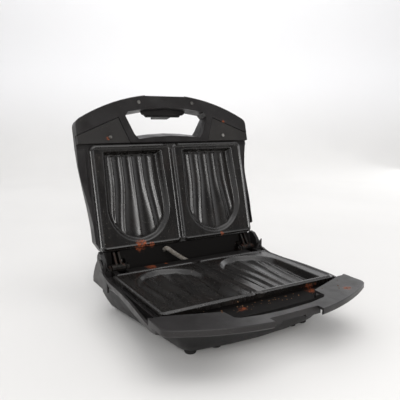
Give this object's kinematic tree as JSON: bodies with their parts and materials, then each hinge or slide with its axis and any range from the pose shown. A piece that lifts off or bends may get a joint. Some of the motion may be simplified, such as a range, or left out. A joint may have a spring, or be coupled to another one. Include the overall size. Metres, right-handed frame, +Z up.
{
  "type": "panini press",
  "caption": "Two-slice panini press standing open: fluted cooking plates in a clamshell casing with bow-shaped handles, a rear hinge and a fold-over latch.",
  "frame": {"origin": "middle of the footprint of the open press, at the bottom of its feet", "axes": "+X to the right along the hinge, +Y from the handles to the hinge, +Z up"},
  "size_m": [0.254, 0.299, 0.2635],
  "materials": {
    "casing": "dark warm grey moulded plastic, satin",
    "corner_panel": "darker satin plastic",
    "tub": "near black satin plastic",
    "black_plastic": "black plastic",
    "non_stick": "cast aluminium with a black non-stick coating, satin",
    "element": "heat-darkened sheath",
    "bright_sheet": "bright sheet",
    "ceramic": "cream heat-proof moulding",
    "rubber": "black rubber",
    "hinge_steel": "darkened pressed steel with a little rust",
    "small_steel": "plated steel",
    "lead_sleeve": "pale grey woven glass sleeve"
  },
  "bodies": {
    "base": {"base_surround": "casing", "base_tub": "tub", "lower_cooking_plate": "non_stick", "lower_heating_element": "element", "lower_element_strap": "small_steel", "lower_heat_reflector": "bright_sheet", "thermostat": "ceramic", "thermal_fuse": "small_steel", "terminal_block": "ceramic", "cord_inlet_bush": "rubber", "foot_front_left": "rubber", "foot_front_right": "rubber", "foot_rear_left": "rubber", "foot_rear_right": "rubber", "tub_screw_front_left": "small_steel", "tub_screw_front_right": "small_steel", "tub_screw_rear_left": "small_steel", "tub_screw_rear_right": "small_steel", "hinge_bracket_left": "hinge_steel", "hinge_bracket_right": "hinge_steel", "hinge_pin_left": "hinge_steel", "hinge_pin_right": "hinge_steel", "hinge_cover_left": "black_plastic", "hinge_cover_right": "black_plastic", "link_lead": "lead_sleeve"},
    "lid": {"lid_shell": "casing", "lid_handle_plate": "casing", "lid_corner_panel_left": "corner_panel", "lid_corner_panel_right": "corner_panel", "upper_cooking_plate": "non_stick", "upper_heating_element": "element", "upper_element_strap": "small_steel", "upper_heat_reflector": "bright_sheet", "lid_hinge_arm_left": "hinge_steel", "lid_hinge_arm_right": "hinge_steel", "hinge_arm_screw_left": "small_steel", "hinge_arm_screw_right": "small_steel", "lid_screw_handle_left": "small_steel", "lid_screw_handle_right": "small_steel", "lid_screw_panel_left": "small_steel", "lid_screw_panel_right": "small_steel", "latch_pin": "small_steel"},
    "latch": {"latch_clip": "black_plastic"}
  },
  "joints": [
    {"name": "lid_hinge", "type": "hinge", "parent": "base", "child": "lid", "pos_m": [0, 0.07014, 0.0518], "axis": [1, 0, 0], "range_deg": [0, 104.7], "deforming": ["link_lead"]},
    {"name": "latch_pivot", "type": "hinge", "parent": "lid", "child": "latch", "pos_m": [0, 0.1441, 0.26045], "axis": [1, 0, 0], "range_deg": [0, 270]}
  ]
}
